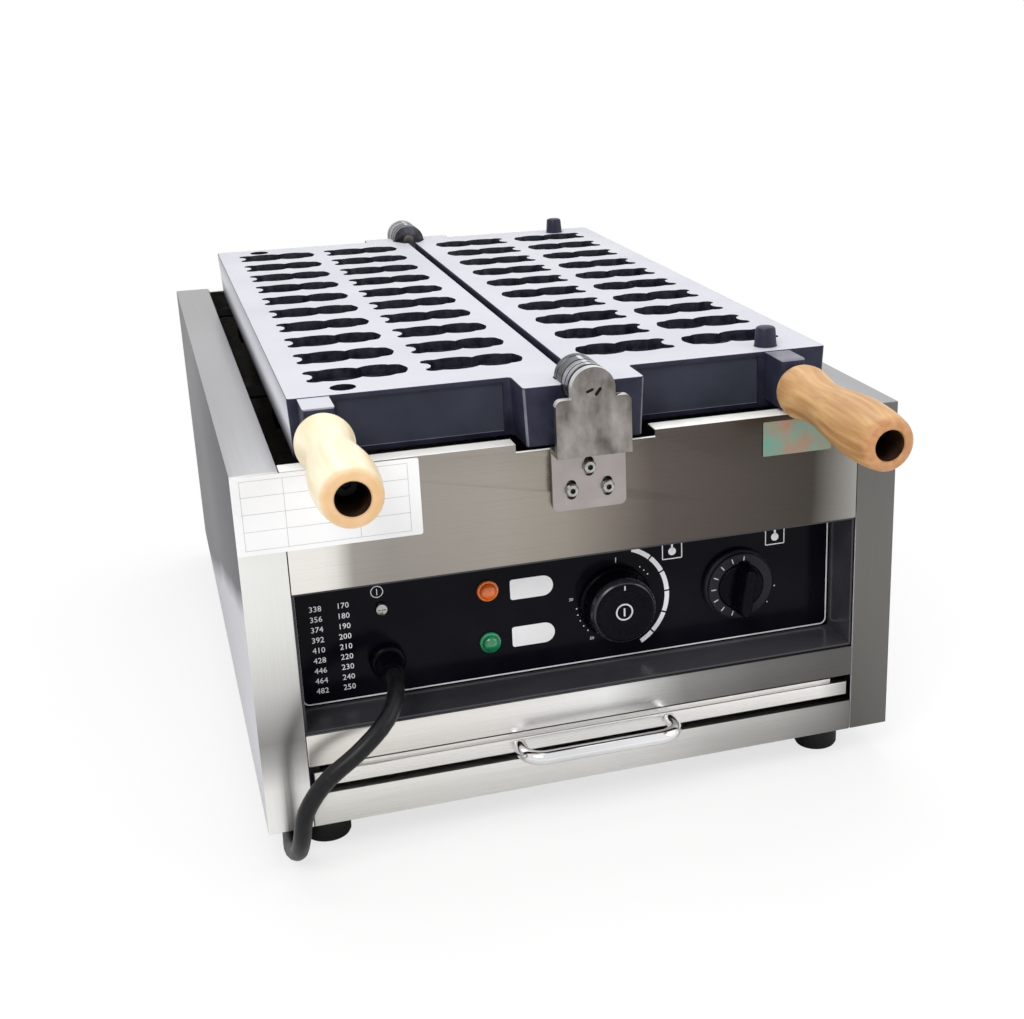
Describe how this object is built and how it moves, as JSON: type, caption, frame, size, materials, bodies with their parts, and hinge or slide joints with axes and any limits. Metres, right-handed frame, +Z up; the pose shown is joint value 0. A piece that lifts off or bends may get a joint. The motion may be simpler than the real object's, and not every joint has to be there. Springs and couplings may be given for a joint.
{
  "type": "waffle maker",
  "caption": "Countertop bear waffle maker: two hinged cast moulds over a steel casing with a recessed control panel and a crumb tray.",
  "frame": {"origin": "on the table, under the middle of the appliance without its cord", "axes": "+X to the right of someone facing the controls, +Y to the rear along the hinge line, +Z up"},
  "size_m": [0.375, 0.8635, 0.2678],
  "materials": {
    "side_cover_left": "brushed",
    "side_cover_right": "brushed",
    "rear_panel": "brushed",
    "base_pan": "brushed",
    "front_fascia": "brushed",
    "lower_front_plate": "brushed",
    "bottom_rail": "brushed",
    "control_recess": "gloss",
    "panel_overlay": "gloss",
    "heat_shield": "brushed",
    "tray_runner_left": "brushed",
    "tray_runner_right": "brushed",
    "foot_front_left": "matt",
    "foot_front_right": "matt",
    "foot_rear_left": "matt",
    "foot_rear_right": "matt",
    "cross_rail_front": "brushed",
    "cross_rail_rear": "brushed",
    "heater_left": "heat-darkened",
    "heater_right": "heat-darkened",
    "front_hinge_bracket": "brushed",
    "rear_hinge_bracket": "brushed",
    "front_hinge_shaft": "brushed",
    "rear_hinge_shaft": "brushed",
    "front_washer": "brushed",
    "rear_washer": "brushed",
    "front_shaft_collar": "brushed",
    "rear_shaft_collar": "brushed",
    "front_bracket_screw_1": "brushed",
    "front_bracket_screw_2": "brushed",
    "front_bracket_screw_3": "brushed",
    "rear_bracket_screw_1": "brushed",
    "rear_bracket_screw_2": "brushed",
    "rear_bracket_screw_3": "brushed",
    "thermostat": "satin",
    "timer": "satin",
    "terminal_block": "unglazed",
    "cable_gland": "satin",
    "gland_nut": "satin",
    "earth_screw": "brushed",
    "lamp_orange": "translucent lens",
    "lamp_green": "translucent lens",
    "mains_cord": "matt",
    "cord_coil": "matt",
    "mains_plug": "matt",
    "mould_left": "satin, dark",
    "handle_left": "pale, oiled",
    "handle_bolt_left": "brushed",
    "mould_right": "satin, dark",
    "dowel_pin_front": "satin, dark",
    "dowel_pin_rear": "satin, dark",
    "handle_right": "brown, oiled",
    "handle_bolt_right": "brushed",
    "crumb_tray": "brushed",
    "tray_handle": "polished",
    "temperature_knob": "satin",
    "temperature_shaft": "brushed",
    "timer_knob": "satin",
    "timer_shaft": "brushed"
  },
  "bodies": {
    "casing": {"side_cover_left": "side_cover_left", "side_cover_right": "side_cover_right", "rear_panel": "rear_panel", "base_pan": "base_pan", "front_fascia": "front_fascia", "lower_front_plate": "lower_front_plate", "bottom_rail": "bottom_rail", "control_recess": "control_recess", "panel_overlay": "panel_overlay", "heat_shield": "heat_shield", "tray_runner_left": "tray_runner_left", "tray_runner_right": "tray_runner_right", "foot_front_left": "foot_front_left", "foot_front_right": "foot_front_right", "foot_rear_left": "foot_rear_left", "foot_rear_right": "foot_rear_right", "cross_rail_front": "cross_rail_front", "cross_rail_rear": "cross_rail_rear", "heater_left": "heater_left", "heater_right": "heater_right", "front_hinge_bracket": "front_hinge_bracket", "rear_hinge_bracket": "rear_hinge_bracket", "front_hinge_shaft": "front_hinge_shaft", "rear_hinge_shaft": "rear_hinge_shaft", "front_washer": "front_washer", "rear_washer": "rear_washer", "front_shaft_collar": "front_shaft_collar", "rear_shaft_collar": "rear_shaft_collar", "front_bracket_screw_1": "front_bracket_screw_1", "front_bracket_screw_2": "front_bracket_screw_2", "front_bracket_screw_3": "front_bracket_screw_3", "rear_bracket_screw_1": "rear_bracket_screw_1", "rear_bracket_screw_2": "rear_bracket_screw_2", "rear_bracket_screw_3": "rear_bracket_screw_3", "thermostat": "thermostat", "timer": "timer", "terminal_block": "terminal_block", "cable_gland": "cable_gland", "gland_nut": "gland_nut", "earth_screw": "earth_screw", "lamp_orange": "lamp_orange", "lamp_green": "lamp_green", "mains_cord": "mains_cord", "cord_coil": "cord_coil", "mains_plug": "mains_plug"},
    "left_mould": {"mould_left": "mould_left", "handle_left": "handle_left", "handle_bolt_left": "handle_bolt_left"},
    "right_mould": {"mould_right": "mould_right", "dowel_pin_front": "dowel_pin_front", "dowel_pin_rear": "dowel_pin_rear", "handle_right": "handle_right", "handle_bolt_right": "handle_bolt_right"},
    "tray": {"crumb_tray": "crumb_tray", "tray_handle": "tray_handle"},
    "temperature_control": {"temperature_knob": "temperature_knob", "temperature_shaft": "temperature_shaft"},
    "timer_control": {"timer_knob": "timer_knob", "timer_shaft": "timer_shaft"}
  },
  "joints": [
    {"name": "left_mould_turn", "type": "hinge", "parent": "casing", "child": "left_mould", "pos_m": [0, 0.043, 0.2557], "axis": [0, 1, 0], "range_deg": [0, 180]},
    {"name": "right_mould_turn", "type": "hinge", "parent": "casing", "child": "right_mould", "pos_m": [0, 0.043, 0.2557], "axis": [0, -1, 0], "range_deg": [0, 180]},
    {"name": "tray_slide", "type": "slide", "parent": "casing", "child": "tray", "axis": [0, -1, 0], "range_m": [0, 0.35]},
    {"name": "temperature_turn", "type": "hinge", "parent": "casing", "child": "temperature_control", "pos_m": [0.0235, -0.1835, 0.1142], "axis": [0, 1, 0], "range_deg": [0, 300]},
    {"name": "timer_turn", "type": "hinge", "parent": "casing", "child": "timer_control", "pos_m": [0.1005, -0.1835, 0.1142], "axis": [0, 1, 0], "range_deg": [0, 300]}
  ]
}
